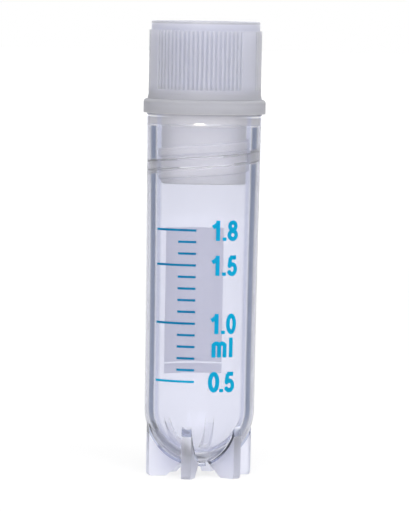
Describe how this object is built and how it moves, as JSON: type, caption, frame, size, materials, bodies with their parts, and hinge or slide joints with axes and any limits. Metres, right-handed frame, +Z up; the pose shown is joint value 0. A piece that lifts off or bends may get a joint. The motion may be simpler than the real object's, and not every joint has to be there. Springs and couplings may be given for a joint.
{
  "type": "cryogenic storage vial",
  "caption": "Clear round-bottomed tube on a star-shaped foot, with an internal-thread screw cap, a silicone gasket, printed graduations and a writing panel.",
  "frame": {"origin": "centre of the star foot, on the ground plane", "axes": "+Z up along the tube and out of the cap, -Y towards the front with the graduations"},
  "size_m": [0.013, 0.013, 0.0485],
  "materials": {
    "clear_polypropylene": "clear and glossy",
    "natural_polypropylene": "milky, moulded satin",
    "silicone": "milky and soft",
    "blue_ink": "printed ink",
    "white_ink": "printed ink that takes a marker pen"
  },
  "bodies": {
    "vial": {"vial_body": "clear_polypropylene", "graduation_marks": "blue_ink", "writing_panel": "white_ink"},
    "gasket": {"sealing_gasket": "silicone"},
    "cap": {"screw_cap": "natural_polypropylene"}
  },
  "joints": [
    {"name": "cap_lift", "type": "slide", "parent": "vial", "child": "gasket", "axis": [0, 0, 1], "range_m": [0, 0.012]},
    {"name": "cap_turn", "type": "hinge", "parent": "gasket", "child": "cap", "pos_m": [0, 0, 0.0387], "axis": [0, 0, 1], "range_deg": [0, 1800]}
  ],
  "couplings": [
    {"joint": "cap_turn", "follows": "cap_lift", "rad_per_m": 2618}
  ]
}
